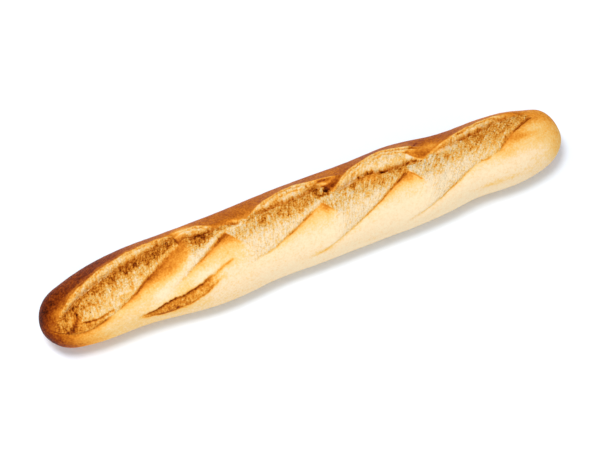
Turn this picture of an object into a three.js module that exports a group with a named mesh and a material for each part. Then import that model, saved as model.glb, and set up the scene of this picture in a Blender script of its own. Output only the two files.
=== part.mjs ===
// A baguette: one long round-ended loaf with five slanting slashes along its top.
// Each slash has a lip of lifted crust on its +Y side (the ear), a torn groove under the lip,
// a swollen band of opened crumb (the bloom) and a crease where the band meets the crust again.
//
// Millimetres, +X along the loaf, +Z up. The origin is the middle of the flat base.
// A place on the loaf is x and an angle round it in degrees: 0 on the top, 90 on the -Y side,
// -90 on the +Y side.

import * as THREE from "three";

// The plain loaf, before its slashes.
const LENGTH = 500;
const WIDTH = 76;
const HEIGHT = 56; // of the rounded top, between the slashes
const WAIST_HEIGHT = 23; // height of the widest line above the base
const UNDERSIDE_DEPTH = 29; // from the widest line to the foot of the round underside, cut by the base
const END_SQUARENESS = 8; // how late the loaf closes towards its ends
const TAPER = 0.06; // share of the girth lost before the ends close
const ROUNDNESS = 2.15; // power of the section: 2 is an ellipse, more is boxier
const BASE_EASE = 2.4; // height over which the side turns into the flat base
const BOW = 1.6; // sideways bow of the middle
const DEGREE_MM = (Math.PI * 36) / 180; // length of one degree round the middle of the loaf

// Slow swellings of the loaf: place, height, and reach along (mm) and round (degrees).
const SWELLINGS = [
  { x: -248, angle: -60, height: 4.2, along: 18, round: 50 },
  { x: -170, angle: -70, height: 2.6, along: 50, round: 45 },
  { x: -168, angle: 95, height: -3.8, along: 34, round: 40 },
  { x: -92, angle: 95, height: 2.6, along: 34, round: 40 },
  { x: -33, angle: 95, height: -1.0, along: 22, round: 40 },
  { x: -10, angle: -80, height: 1.6, along: 50, round: 40 },
  { x: 60, angle: -80, height: 0.8, along: 60, round: 40 },
  { x: 93, angle: -78, height: 2.4, along: 28, round: 40 },
  { x: 145, angle: -78, height: -2.4, along: 26, round: 40 },
  { x: 158, angle: 95, height: -3.2, along: 26, round: 40 },
  { x: 215, angle: -70, height: 1.4, along: 24, round: 45 },
  { x: 235, angle: 60, height: 1.2, along: 20, round: 60 },
  { x: 246, angle: -60, height: 7.0, along: 14, round: 50 },
];

// Reliefs shared by the slashes.
const LIP_REACH = 17; // how far the crust outside a lip is lifted
const GROOVE_DEPTH = 3;
const GROOVE_HALF_WIDTH = 1.8;
const GROOVE_SLOPE = 4.2; // the groove's gentler side, under the lip
const BLOOM_HEIGHT = 2;
const CREASE_DEPTH = 1.9;
const CREASE_HALF_WIDTH = 2;

// The slashes from the -X end. "lip" is the height of the lifted crust. Each line runs through
// [x, angle] points in order of x: the edge of the ear, the floor of the groove and the crease.
// The crease's strength, as a share of its full depth, changes through [x, strength] points.
const SLASHES = [
  {
    lip: 3.2,
    ear: [[-240, 38], [-232, 10], [-216, -15], [-190, -30], [-155, -39], [-110, -40]],
    groove: [[-230, 20], [-215, -3], [-200, -13], [-185, -19], [-165, -24], [-138, -31], [-112, -37]],
    crease: [[-242, 46], [-227, 59], [-208, 57], [-188, 46], [-165, 30], [-150, 14], [-115, -18]],
    creaseStrength: [[-242, 0], [-205, 0.6], [-186, 0.4], [-163, 0.85], [-150, 1.1], [-120, 0.4], [-114, 0]],
  },
  {
    lip: 2.4,
    ear: [[-122, -42], [-95, -37], [-80, -26], [-66, -24], [-48, -13]],
    groove: [[-114, -32], [-104, -28], [-95, -23], [-84, -23.5], [-70, -23], [-57, -17]],
    crease: [[-154, 55], [-127, 38], [-105, 20], [-88, 6], [-71, -9]],
    creaseStrength: [[-140, 0], [-115, 0.35], [-85, 0.9], [-75, 1.1], [-67, 0]],
  },
  {
    lip: 4,
    ear: [[-57, -11], [-43, -23], [-29, -32], [-5, -39], [16, -35], [42, -29]],
    groove: [[-42, -21], [-25, -23], [-8, -23], [6, -25], [16, -29], [21, -27]],
    crease: [[-68, 51], [-35, 38], [-7, 20], [17, 0]],
    creaseStrength: [[-66, 0], [-30, 0.6], [-10, 1.1], [2, 0.9], [20, 0]],
  },
  {
    lip: 4.4,
    ear: [[26, -5], [42, -23], [61, -35], [84, -42], [103, -35], [121, -30]],
    groove: [[32, -9], [47, -14], [60, -18], [70, -17], [79, -11.5], [92, -12], [107, -10]],
    crease: [[-16, 78], [10, 68], [48, 44], [76, 22], [100, 1]],
    creaseStrength: [[-5, 0], [25, 0.3], [45, 0.4], [62, 0.8], [99, 1.1], [102, 0]],
  },
  {
    lip: 3.8,
    ear: [[112, -5], [130, -16], [148, -26], [165, -34], [190, -39], [210, -38], [226, -31]],
    groove: [[125, -11], [142, -18], [157, -22], [175, -26], [190, -32.5], [203, -36], [219, -34]],
    crease: [[80, 80], [127, 52], [155, 31], [170, 27], [183, 21], [192, 10], [203, -4], [227, -30]],
    creaseStrength: [[85, 0], [127, 0.5], [150, 0.45], [159, 0.1], [178, 0.1], [187, 0.7], [228, 0]],
  },
];

// A shallow burst low on the -Y side, steep along its upper edge.
const BURST = {
  edge: [[-172, 68], [-155, 66], [-140, 60], [-128, 57], [-112, 53], [-98, 45], [-82, 38]],
  depth: 1.8,
  above: 2.4,
  below: 5,
};

// The net of the surface.
const STATIONS = 113; // rings along the loaf, not counting its two tips
const STATION_CROWDING = 0.12; // rings stand closer towards the tips
const CROWDING_POWER = 9;
const UPPER_COLUMNS = 40; // columns round the slashed part
const UPPER_START = -100;
const UPPER_END = 115;
const LOWER_COLUMNS = 12;
const SHIFT_REACH = 3; // columns over which the shift of a column onto a line dies away
const HOLD_MM = 9; // length over which a line takes hold of the columns at its ends

function smooth(from, to, value) {
  return THREE.MathUtils.smoothstep(value, from, to);
}

function firstX(line) {
  return line[0][0];
}

function lastX(line) {
  return line[line.length - 1][0];
}

// Slope of a line at its point k, in degrees per millimetre.
function slopeAt(line, k) {
  const before = line[Math.max(k - 1, 0)];
  const after = line[Math.min(k + 1, line.length - 1)];
  return (after[1] - before[1]) / (after[0] - before[0]);
}

// Angle and slope of a line at x, on a smooth curve through its points.
function lineAt(line, x) {
  const at = THREE.MathUtils.clamp(x, firstX(line), lastX(line));
  let k = 0;
  while (k < line.length - 2 && at > line[k + 1][0]) {
    k += 1;
  }
  const [x0, a0] = line[k];
  const [x1, a1] = line[k + 1];
  const span = x1 - x0;
  const u = (at - x0) / span;
  const m0 = slopeAt(line, k) * span;
  const m1 = slopeAt(line, k + 1) * span;
  const angle =
    a0 * (1 + 2 * u) * (1 - u) ** 2 +
    m0 * u * (1 - u) ** 2 +
    a1 * u ** 2 * (3 - 2 * u) +
    m1 * u ** 2 * (u - 1);
  const slope = (6 * u * (1 - u) * (a1 - a0) + m0 * (1 - u) * (1 - 3 * u) + m1 * u * (3 * u - 2)) / span;
  return { angle, slope };
}

// Level at x between [x, level] points.
function levelAt(points, x) {
  const next = points.findIndex(([pointX]) => pointX > x);
  if (next <= 0) {
    return next === 0 ? points[0][1] : points[points.length - 1][1];
  }
  const [x0, level0] = points[next - 1];
  const [x1, level1] = points[next];
  return THREE.MathUtils.mapLinear(x, x0, x1, level0, level1);
}

// Girth of the loaf at x as a share of its middle.
function girth(x) {
  const share = Math.min(Math.abs(x) / (LENGTH / 2), 1);
  return Math.sqrt(1 - share ** END_SQUARENESS) * (1 - TAPER * share ** 2);
}

// Distance in millimetres from a line to a place, square to the line and positive towards -Y.
function distance(line, x, angle) {
  const at = lineAt(line, x);
  const degree = DEGREE_MM * girth(x);
  return ((angle - at.angle) * degree) / Math.hypot(1, at.slope * degree);
}

// Share of a line's length passed at x.
function progress(line, x) {
  return (x - firstX(line)) / (lastX(line) - firstX(line));
}

function bump(value, width) {
  return Math.exp(-((value / width) ** 2));
}

function lipRelief({ lip, ear, groove }, x, angle) {
  const along = progress(ear, x);
  const strength = smooth(-0.04, 0.22, along) * (1 - smooth(0.84, 1.04, along));
  if (strength === 0) {
    return 0;
  }
  const fromEdge = distance(ear, x, angle);
  const edgeToGroove = Math.max(distance(ear, x, lineAt(groove, x).angle), GROOVE_SLOPE);
  const outside = THREE.MathUtils.clamp(1 + fromEdge / LIP_REACH, 0, 1) ** 2;
  const inside = THREE.MathUtils.clamp(1 - fromEdge / edgeToGroove, 0, 1);
  return lip * strength * (fromEdge < 0 ? outside : inside);
}

function grooveRelief({ groove }, x, angle) {
  const along = progress(groove, x);
  const strength = smooth(-0.06, 0.08, along) * (1 - smooth(0.94, 1.06, along));
  const side = distance(groove, x, angle);
  return -GROOVE_DEPTH * strength * bump(side, side < 0 ? GROOVE_SLOPE : GROOVE_HALF_WIDTH);
}

function creaseRelief({ crease, creaseStrength }, x, angle) {
  const depth = CREASE_DEPTH * levelAt(creaseStrength, x);
  return -depth * bump(distance(crease, x, angle), CREASE_HALF_WIDTH);
}

function bloomRelief({ groove, crease }, x, angle) {
  const closing = lastX(groove);
  const opened = smooth(firstX(crease), firstX(groove), x);
  const strength = opened * (1 - smooth(Math.min(lastX(crease), closing) - 4, closing + 4, x));
  const top = lineAt(groove, x).angle;
  const foot = lineAt(crease, x).angle;
  const across = (foot - angle) / Math.max(foot - top, 1);
  if (strength === 0 || across <= 0 || across >= 1) {
    return 0;
  }
  return BLOOM_HEIGHT * strength * Math.sin(Math.PI * across) ** 0.7;
}

function burstRelief(x, angle) {
  const along = progress(BURST.edge, x);
  const strength = smooth(0, 0.25, along) * (1 - smooth(0.6, 1, along));
  const side = distance(BURST.edge, x, angle);
  return -BURST.depth * strength * bump(side, side < 0 ? BURST.above : BURST.below);
}

function swelling(x, angle) {
  return SWELLINGS.reduce((sum, s) => {
    const turn = THREE.MathUtils.euclideanModulo(angle - s.angle + 180, 360) - 180;
    return sum + s.height * bump(x - s.x, s.along) * bump(turn, s.round);
  }, 0);
}

// How far the crust stands out from the plain loaf.
function relief(x, angle) {
  return SLASHES.reduce(
    (sum, slash) =>
      sum +
      lipRelief(slash, x, angle) +
      grooveRelief(slash, x, angle) +
      creaseRelief(slash, x, angle) +
      bloomRelief(slash, x, angle),
    burstRelief(x, angle) + swelling(x, angle),
  );
}

// Height over the base: heights near zero are eased onto the flat base.
function settle(z) {
  if (z > BASE_EASE) {
    return z;
  }
  return z < -BASE_EASE ? 0 : (z + BASE_EASE) ** 2 / (4 * BASE_EASE);
}

function place(x, angle) {
  const size = girth(x);
  const turn = THREE.MathUtils.degToRad(angle);
  const side = Math.sin(turn);
  const rise = Math.cos(turn);
  const halfWidth = (WIDTH / 2) * size;
  const halfHeight = (rise >= 0 ? HEIGHT - WAIST_HEIGHT : UNDERSIDE_DEPTH) * size;
  const middle = BOW * (1 - 2 * ((2 * x) / LENGTH) ** 2);
  if (size < 1e-6) {
    return new THREE.Vector3(x, middle, WAIST_HEIGHT);
  }
  const across = (Math.abs(side) / halfWidth) ** ROUNDNESS;
  const upward = (Math.abs(rise) / halfHeight) ** ROUNDNESS;
  const radius = (across + upward) ** (-1 / ROUNDNESS) + relief(x, angle) * Math.min(1, 1.5 * size);
  return new THREE.Vector3(x, middle - radius * side, settle(WAIST_HEIGHT + radius * rise));
}

function stationX(i) {
  const v = (2 * i) / (STATIONS + 1) - 1;
  return (LENGTH / 2) * ((1 + STATION_CROWDING) * v - STATION_CROWDING * v ** CROWDING_POWER);
}

// Angles of the columns where nothing draws them aside.
function plainColumns() {
  const angles = [];
  for (let j = 0; j < UPPER_COLUMNS; j += 1) {
    angles.push(UPPER_START + ((UPPER_END - UPPER_START) * j) / UPPER_COLUMNS);
  }
  for (let j = 0; j < LOWER_COLUMNS; j += 1) {
    angles.push(UPPER_END + ((360 + UPPER_START - UPPER_END) * j) / LOWER_COLUMNS);
  }
  return angles;
}

// The lines that cross the ring at x: their angles, and how firmly each holds a column.
function linesAcross(x) {
  const lines = SLASHES.flatMap(({ ear, groove, crease }) => [ear, groove, crease]);
  return [...lines, BURST.edge]
    .map((line) => {
      const hold = smooth(0, HOLD_MM, Math.min(x - firstX(line), lastX(line) - x));
      return { angle: lineAt(line, x).angle, hold };
    })
    .filter(({ hold }) => hold > 0)
    .sort((a, b) => a.angle - b.angle);
}

// The columns of the ring at x: the nearest column stands on each line, its neighbours move less.
function columnsAt(x) {
  const plain = plainColumns();
  const step = plain[1] - plain[0];
  const shift = new Array(plain.length).fill(0);
  const held = [];
  for (const { angle, hold } of linesAcross(x)) {
    const j = Math.round((angle - UPPER_START) / step);
    if (held.length === 0 || j > held[held.length - 1]) {
      held.push(j);
      shift[j] = (angle - plain[j]) * hold;
    }
  }
  for (let j = 0; j < UPPER_COLUMNS; j += 1) {
    if (!held.includes(j)) {
      const reach = (k) => Math.max(0, 1 - Math.abs(k - j) / SHIFT_REACH);
      shift[j] = held.reduce((sum, k) => sum + shift[k] * reach(k), 0);
    }
  }
  return plain.map((angle, j) => angle + shift[j]);
}

// Of the two ways to split a four-sided cell, the one that lies nearer the loaf's true surface.
function splitAlongFirst(cell) {
  const x = (cell[0].x + cell[2].x) / 2;
  const angle = cell.reduce((sum, corner) => sum + corner.angle, 0) / 4;
  const onSurface = place(x, angle);
  const gap = (a, b) => a.point.clone().add(b.point).multiplyScalar(0.5).distanceTo(onSurface);
  return gap(cell[0], cell[2]) <= gap(cell[1], cell[3]);
}

function loafGeometry() {
  const rings = [];
  for (let i = 1; i <= STATIONS; i += 1) {
    const x = stationX(i);
    rings.push(columnsAt(x).map((angle) => ({ x, angle, point: place(x, angle) })));
  }
  const columns = rings[0].length;
  const points = rings.flat().map((corner) => corner.point);
  const startTip = points.push(place(-LENGTH / 2, 0)) - 1;
  const endTip = points.push(place(LENGTH / 2, 0)) - 1;
  const faces = [];
  for (let j = 0; j < columns; j += 1) {
    const next = (j + 1) % columns;
    const lastRing = (STATIONS - 1) * columns;
    faces.push([startTip, next, j], [endTip, lastRing + j, lastRing + next]);
    const turn = next === 0 ? 360 : 0;
    for (let i = 0; i + 1 < STATIONS; i += 1) {
      const here = i * columns;
      const ahead = here + columns;
      const [a, b, c, d] = [here + j, here + next, ahead + next, ahead + j];
      const far = (corner) => ({ ...corner, angle: corner.angle + turn });
      const cell = [rings[i][j], far(rings[i][next]), far(rings[i + 1][next]), rings[i + 1][j]];
      if (splitAlongFirst(cell)) {
        faces.push([a, b, c], [a, c, d]);
      } else {
        faces.push([a, b, d], [b, c, d]);
      }
    }
  }
  const geometry = new THREE.BufferGeometry().setFromPoints(points);
  geometry.setIndex(faces.flat());
  return geometry;
}

// Puts the middle of the geometry's outline over the origin and its base at z = 0.
function centre(geometry) {
  geometry.computeBoundingBox();
  const { min, max } = geometry.boundingBox;
  geometry.translate(-(min.x + max.x) / 2, -(min.y + max.y) / 2, -min.z);
  geometry.computeVertexNormals();
  return geometry;
}

const crust = new THREE.MeshStandardMaterial({ color: 0xe3ad6a, roughness: 0.62, metalness: 0 });
const loaf = new THREE.Mesh(centre(loafGeometry()), crust);
loaf.name = "loaf";

const baguette = new THREE.Group();
baguette.name = "baguette";
baguette.add(loaf);

export default baguette;
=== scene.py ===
"""A baguette with five slashes: its fine crust and crumb, their colours, and a plain studio stage.

A place on the loaf is x in millimetres and an angle round the loaf in degrees: 0 on the top,
90 on the -Y side and -90 on the +Y side. Browning runs from 0, the palest crust, to 1, the darkest;
besides the crust's own browning it carries painted shade and painted light.
"""

import itertools
import math

import bpy
import numpy as np
from bpy.props import FloatProperty, FloatVectorProperty, PointerProperty
from mathutils import Matrix, Vector


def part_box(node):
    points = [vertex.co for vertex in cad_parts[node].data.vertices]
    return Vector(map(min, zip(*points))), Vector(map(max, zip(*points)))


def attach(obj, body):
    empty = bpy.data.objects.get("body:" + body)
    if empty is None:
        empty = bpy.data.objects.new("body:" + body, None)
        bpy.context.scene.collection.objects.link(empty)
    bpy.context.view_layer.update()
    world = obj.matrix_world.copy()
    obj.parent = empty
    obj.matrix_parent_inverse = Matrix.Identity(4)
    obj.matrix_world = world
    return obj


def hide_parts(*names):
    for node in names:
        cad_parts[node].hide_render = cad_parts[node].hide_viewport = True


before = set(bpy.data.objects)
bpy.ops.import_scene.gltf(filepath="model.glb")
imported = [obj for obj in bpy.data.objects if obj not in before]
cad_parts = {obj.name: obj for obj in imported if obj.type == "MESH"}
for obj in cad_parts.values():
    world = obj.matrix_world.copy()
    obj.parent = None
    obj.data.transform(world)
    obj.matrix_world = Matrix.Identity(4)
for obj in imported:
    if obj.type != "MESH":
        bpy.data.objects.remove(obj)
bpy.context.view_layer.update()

bl_info = {
    "name": "Baguette",
    "version": (1, 0, 0),
    "blender": (4, 5, 0),
    "location": "3D View > Sidebar > Baguette",
    "description": "Builds a baguette with torn slashes and the stage it lies on",
    "category": "Add Mesh",
}

MM = 0.001
NODE = "loaf"
BODY = "root"

# The plain loaf, in millimetres.
LOAF_LENGTH = (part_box(NODE)[1].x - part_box(NODE)[0].x) / MM
END_SQUARENESS = 8  # how late the loaf closes towards its ends
TAPER = 0.06  # share of the girth lost before the ends close
LEAST_GIRTH = 1e-6  # keeps the section from vanishing at the tips
ROUNDNESS = 2.15  # power of the section: 2 is an ellipse, more is boxier
UNDERSIDE_DEPTH = 29  # from the widest line to the foot of the round underside, cut by the base
BASE_EASE = 2.4  # height over which the side turns into the flat base
BOW = 1.6  # sideways bow of the middle
RELIEF_RETURN = 1.5  # how soon behind the tips the relief reaches its full height
MEAN_RADIUS = 36
DEGREE_MM = math.pi * MEAN_RADIUS / 180  # length of one degree round the middle of the loaf

# Slow swellings of the loaf from the -X end: x, angle, height, reach along and reach round.
SWELLINGS = [
    (-248, -60, 4.2, 18, 50),
    (-238, 95, 2.2, 16, 40),
    (-170, -70, 2.6, 50, 45),
    (-166, 95, -4.6, 38, 40),
    (-92, 95, 2.6, 34, 40),
    (-33, 95, -1.0, 22, 40),
    (-10, -80, 1.6, 50, 40),
    (60, -80, 0.8, 60, 40),
    (93, -78, 2.4, 28, 40),
    (145, -78, -2.4, 26, 40),
    (156, 95, -4.6, 28, 40),
    (215, -70, 1.4, 24, 45),
    (235, 60, 1.2, 20, 60),
    (246, -60, 7.0, 14, 50),
]

# The slashes from the -X end. "lip" is the height of the lifted crust. Lines run through (x, angle)
# points: the edge of the lifted crust, the floor of the groove under it and the crease below the opened
# crumb. The crumb is torn open between the lines "start" and "end", and fades in over "start_fade"
# millimetres near its top and near its bottom. The other lists run through (x, level) points:
# how strong the crease and the painted shadow in the groove under the lip are, how far in millimetres
# the browned shelf reaches below the groove and the smooth rib above the crease, and the browning of
# the parts. "layering" is how clearly the lip's edge shows its layers.
SLASHES = [
    {
        "lip": 3.2,
        "ear": [
            (-240, 38), (-232, 13), (-220, -6), (-210, -14),
            (-190, -27), (-170, -33), (-150, -38), (-110, -40),
        ],
        "groove": [
            (-230, 20), (-215, -0.5), (-200, -10.5), (-185, -17),
            (-165, -22.5), (-138, -30.5), (-112, -37),
        ],
        "groove_line": [(-230, 0.4), (-215, 0.25), (-180, 0.35), (-172, 0.9), (-150, 1), (-112, 0.9)],
        "crease": [(-242, 46), (-227, 59), (-208, 57), (-188, 46), (-165, 30), (-150, 14), (-115, -18)],
        "crease_strength": [
            (-242, 0), (-228, 0.5), (-205, 0.65), (-192, 0.55), (-186, 0.2), (-178, 0.6),
            (-163, 0.85), (-150, 1.1), (-135, 0.8), (-120, 0.4), (-114, 0),
        ],
        "start": [(-246, 0), (-246, 50)],
        "start_fade": (22, 14),
        "end": [(-115, -40), (-115, -18)],
        "shelf_reach": [(-218, 6), (-190, 9), (-160, 11), (-120, 18)],
        "shelf_browning": [(-218, 0.58), (-205, 0.68), (-160, 0.65), (-120, 0.65)],
        "crumb_browning": [(-242, 0.7), (-228, 0.53), (-205, 0.36), (-170, 0.33), (-135, 0.47)],
        "rib_reach": [(-205, 6), (-180, 9), (-150, 5), (-116, 3.5)],
        "rib_browning": [(-240, 0.6), (-224, 0.6), (-214, 0.28), (-170, 0.2)],
        "lip_browning": 0.25,
        "layering": 0.5,
    },
    {
        "lip": 2.4,
        "ear": [(-122, -42), (-95, -37), (-80, -26), (-66, -24), (-48, -13)],
        "groove": [(-114, -32), (-104, -28), (-95, -23), (-84, -23.5), (-70, -23), (-57, -17)],
        "groove_line": [(-114, 0.6), (-106, 1), (-90, 1.2), (-82, 0.7), (-57, 0.8)],
        "crease": [(-154, 55), (-127, 38), (-105, 20), (-88, 6), (-71, -9)],
        "crease_strength": [
            (-134, 0), (-113, 0.5), (-100, 0.7), (-85, 0.9), (-75, 1.1), (-70, 0.6), (-67, 0),
        ],
        "start": [(-113, -30), (-113, 0), (-130, 20)],
        "start_fade": (10, 30),
        "end": [(-58, -26), (-49, -13), (-40, 0)],
        "shelf_reach": [(-112, 12), (-92, 10), (-80, 7.5), (-60, 7)],
        "shelf_browning": [(-112, 0.45), (-95, 0.62), (-82, 0.54), (-70, 0.5), (-60, 0.34)],
        "crumb_browning": [(-112, 0.4), (-70, 0.28)],
        "rib_reach": [(-114, 14), (-90, 7), (-72, 3)],
        "rib_browning": [(-110, 0.08)],
        "lip_browning": 0.27,
        "layering": 0.8,
    },
    {
        "lip": 4,
        "ear": [(-57, -11), (-43, -23), (-29, -32), (-5, -39), (16, -35), (42, -29)],
        "groove": [(-42, -21), (-25, -23), (-8, -23), (6, -25), (16, -29), (21, -27)],
        "groove_line": [(-42, 0.7), (-36, 1), (0, 0.8), (14, 1)],
        "crease": [(-68, 51), (-35, 38), (-7, 20), (17, 0)],
        "crease_strength": [
            (-66, 0), (-45, 0.3), (-30, 0.55), (-10, 0.85), (2, 0.7), (10, 0.4), (17, 0.25), (20, 0),
        ],
        "start": [(-72, -9), (-64, 12), (-74, 26)],
        "start_fade": (1.2, 26),
        "end": [(17, -38), (21, -30), (28, -12), (30, 0)],
        "shelf_reach": [(-45, 13), (-20, 11), (18, 11)],
        "shelf_browning": [(-45, 0.47), (-10, 0.5), (18, 0.57)],
        "crumb_browning": [(-60, 0.24), (-20, 0.39), (15, 0.44)],
        "rib_reach": [(-60, 12), (-10, 8), (15, 3.5)],
        "rib_browning": [(-40, 0.1)],
        "lip_browning": 0.11,
        "layering": 1,
    },
    {
        "lip": 4.4,
        "ear": [(26, -5), (42, -23), (61, -35), (84, -42), (103, -35), (121, -30)],
        "groove": [(32, -9), (47, -14), (60, -18), (70, -17), (79, -11.5), (92, -12), (107, -10)],
        "groove_line": [
            (32, 0.15), (44, 0.3), (52, 0.65), (64, 0.9), (72, 0.8), (79, 1.1), (84, 0.9), (107, 0.8),
        ],
        "crease": [(-16, 78), (10, 68), (48, 44), (76, 22), (100, 1)],
        "crease_strength": [
            (-12, 0), (8, 0.3), (25, 0.42), (45, 0.5), (62, 0.7), (75, 0.8), (88, 1), (96, 0.8), (101, 0),
        ],
        "start": [(15, 0), (24, 20), (10, 36)],
        "start_fade": (1.2, 26),
        "end": [(120, -45), (111, -32), (103, -25), (107, -17), (114, -7), (117, 0)],
        "shelf_reach": [(40, 8), (80, 8), (105, 8)],
        "shelf_browning": [(40, 0.41), (50, 0.52), (58, 0.63), (68, 0.6), (76, 0.55), (90, 0.5)],
        "crumb_browning": [(25, 0.18), (60, 0.39), (100, 0.44)],
        "rib_reach": [(0, 13), (60, 9), (80, 4.5), (98, 2.5)],
        "rib_browning": [(20, 0.04), (70, 0.1), (90, 0.3)],
        "lip_browning": 0.21,
        "layering": 1,
    },
    {
        "lip": 3.8,
        "ear": [(112, -5), (130, -16), (148, -26), (165, -34), (190, -39), (210, -38), (226, -31)],
        "groove": [
            (125, -11), (142, -18), (157, -22), (175, -26),
            (190, -32.5), (203, -36), (217, -35.5), (226, -32),
        ],
        "groove_line": [
            (125, 0.4), (150, 0.4), (156, 0.8), (176, 0.8), (180, 0.4), (200, 0.5), (218, 0.9), (220, 0),
        ],
        "crease": [
            (80, 80), (127, 52), (155, 31), (170, 27), (183, 21),
            (192, 10), (203, -4), (214, -16), (227, -30),
        ],
        "crease_strength": [
            (80, 0), (98, 0.35), (112, 0.5), (127, 0.55), (150, 0.5), (159, 0.1),
            (178, 0.1), (187, 0.7), (200, 0.6), (206, 0.5), (222, 0.5), (228, 0),
        ],
        "start": [(99, 2), (108, 22), (96, 40)],
        "start_fade": (1.2, 26),
        "end": [(216, -40), (218, -34), (229, -28), (230, -20)],
        "shelf_reach": [(125, 6), (145, 9), (162, 14), (200, 15), (220, 12)],
        "shelf_browning": [(125, 0.34), (145, 0.33), (162, 0.45), (195, 0.46), (220, 0.5)],
        "crumb_browning": [(110, 0.13), (130, 0.25), (150, 0.41), (200, 0.44), (222, 0.5)],
        "rib_reach": [(90, 13), (160, 9), (195, 4), (222, 2)],
        "rib_browning": [(110, 0.0), (140, 0.07), (170, 0.16), (195, 0.32)],
        "lip_browning": 0.17,
        "layering": 1,
    },
]

# What the slashes share. Lengths are in millimetres.
LIP_REACH = 17  # how far the crust outside a lip is lifted
LIP_ROUNDING = 1.8  # how long the inside of the lip stays high before it drops into the groove
LIP_LEAST_WIDTH = 3.2  # least width from a lip's edge to its groove
GROOVE_ABOVE, GROOVE_BELOW = 2.2, 1.3  # half widths of the groove
CREASE_ABOVE, CREASE_BELOW = 1.3, 2.6  # half widths of the crease
BLOOM_FADE = 4  # how far the swell of the opened crumb fades out round its end
BLOOM_ROUNDING = 0.7  # below 1 the swell is flatter on top
BLOOM_LEAST_ANGLE = 1  # least angle from the groove to the crease
TEAR_WANDER = 0.8  # how far torn lines wander from their smooth course
EDGE_WANDER, CREASE_WANDER = 0.5, 0.35  # shares of that wander at the lip's edge and at the crease
CREASE_SWAY = 0.8  # how far the crease sways in a slower pattern
STRAND_LEAN = [(-180, 0.15), (20, 0.35), (90, 0.75)]  # lean of the torn strands along the loaf

# The soft borders of the torn crumb: it is absent at the first distance and whole at the second.
END_BORDER = (-0.4, 0.5)
CREASE_BORDER = (0.3, -0.5)
EAR_BORDER = (-0.3, 0.4)
GROOVE_BORDER = (-0.5, 0.5)

# The parts of the torn crumb.
SHELF_RAGGEDNESS = 0.3  # share by which the shelf's reach changes
SHELF_OUTSIDE, SHELF_INSIDE = 3, 4  # how far beyond and within its reach the shelf fades
RIB_FADE = (1.3, 0.4)  # the rib fades in between these shares of its reach
RIB_COVER = 0.8  # how far the rib hides the shelf
PALE_FADE = (10, 26)  # the crumb turns pale between these distances below the groove
PALE_SMOOTHNESS, LIP_SMOOTHNESS, RIB_SMOOTHNESS = 0.4, 0.45, 0.6  # shares of the roughness lost there
PATCH_SMOOTHNESS = 0.8  # share of the roughness lost in a smooth patch
STRAND_HEIGHT, LUMP_HEIGHT, LIP_LUMP_HEIGHT = 0.36, 0.4, 0.45
STRAND_BROWNING, LUMP_BROWNING, BLOTCH_BROWNING, LIP_LUMP_BROWNING = 0.08, -0.05, 0.05, 0.11
LIP_EVENNESS = 0.6  # share of that change of browning lost on the lip

# The layers of crust that show at a lip's edge: distance from the edge, half width, height, browning.
# The sunken layers are browner partly as painted shade under the lip's rim.
LIP_LAYERS_AND_SHADE = [
    (-2.8, 2, 0.1, 0.7),
    (-0.2, 0.85, 0.4, 0.27),
    (1.4, 0.7, -0.5, 0.62),
    (2.9, 0.9, 0.35, 0.22),
    (4.6, 0.75, -0.3, 0.52),
]
OUTER_CRUST = -1  # a layer farther out than this shows on every lip alike
LAYER_WANDER = 0.9  # how far the layers inside the edge wander
LAYER_FOOT = (1.0, -0.5)  # the layers fade in between these distances below the groove

# The dark lines of the slashes: painted shadow in the groove under the lip, and along the crease a line that
# is partly browning and partly painted shade, with painted shade beside it.
GROOVE_SHADOW_RISE = 0.9  # the painted shadow lies this far above the groove's floor
GROOVE_SHADOW_WIDTH, GROOVE_SHADOW_GROWTH = 0.7, 0.5  # half width, and what full strength adds to it
GROOVE_SHADOW_CHANGE, CREASE_LINE_CHANGE = 0.4, 0.3  # shares by which the widths change along them
GROOVE_SHADOW_DARKNESS = 0.77
CREASE_LINE_ABOVE, CREASE_LINE_BELOW = 1.5, 0.9  # half widths
CREASE_LINE_BROWNING_AND_SHADE = (0.3, 0.7)  # where the crease is faint and where it is full
CREASE_SHADE_ABOVE, CREASE_SHADE_BELOW = 4, 10  # how far painted shade browns the crust above and below the crease
CREASE_SHADE_DARKNESS, CREASE_SHADE_FALL = 0.16, 1.5

# The shares of a line's length over which it fades in at its first end, and out at its last end.
LIP_ENDS = (-0.04, 0.22), (1.04, 0.84)
GROOVE_ENDS = (-0.06, 0.08), (1.06, 0.94)
SHELF_ENDS = (-0.04, 0.1), (1.04, 0.95)
BURST_ENDS = (0, 0.2), (1, 0.74)
MARK_ENDS = (-0.05, 0.15), (1.05, 0.85)

# Random patterns: a number for each, and the size of its cells along and round the loaf.
WANDER, FINE_WANDER = (11, 5.5, 9), (12, 2.2, 5)
CREASE_BENDS = (13, 13, 50)
BROWNING_DRIFT = (24, 30, 14)
RAGGED_STRANDS, RAGGED_EDGE = (31, 2.6, 30), (32, 7, 9)
LIP_LUMPS = (34, 5, 3.5)
STRANDS, LUMPS, BLOTCHES = (41, 2.3, 10), (44, 3.5, 3.5), (47, 6, 9)
LAYER_BENDS = (56, 7, 40)
GROOVE_SHADOW_WIDTHS, CREASE_WIDTHS = (53, 6, 30), (54, 8, 30)
BURST_LUMPS, BURST_TEETH = (71, 2.4, 2.4), (75, 1.8, 12)
NUMBERS_PER_SLASH = 100
# Broken lines: a pattern, the usual strength and how much it changes.
BROKEN_LAYERS = (51, 8, 40), 0.85, 0.5
BROKEN_GROOVE_SHADOW = (52, 3.5, 30), 0.8, 0.5
BROKEN_CREASE = (55, 9, 30), 0.85, 0.4
# Patterns all through the loaf: a number, the size of the cells, and the height on the crust.
CRUST_UNEVENNESS = [(21, 23, 0.28), (22, 7, 0.12), (23, 3, 0.05)]
FINER_LAYERS = [(2.03, 0.5), (4.11, 0.25)]  # how much finer each layer is, and its share
FINE_SHARE = 0.5  # share of the finer of two patterns
DRIFT_REACH = 7  # how far along the loaf the untorn crust's browning drifts
NOISE_CELLS = 64

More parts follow.
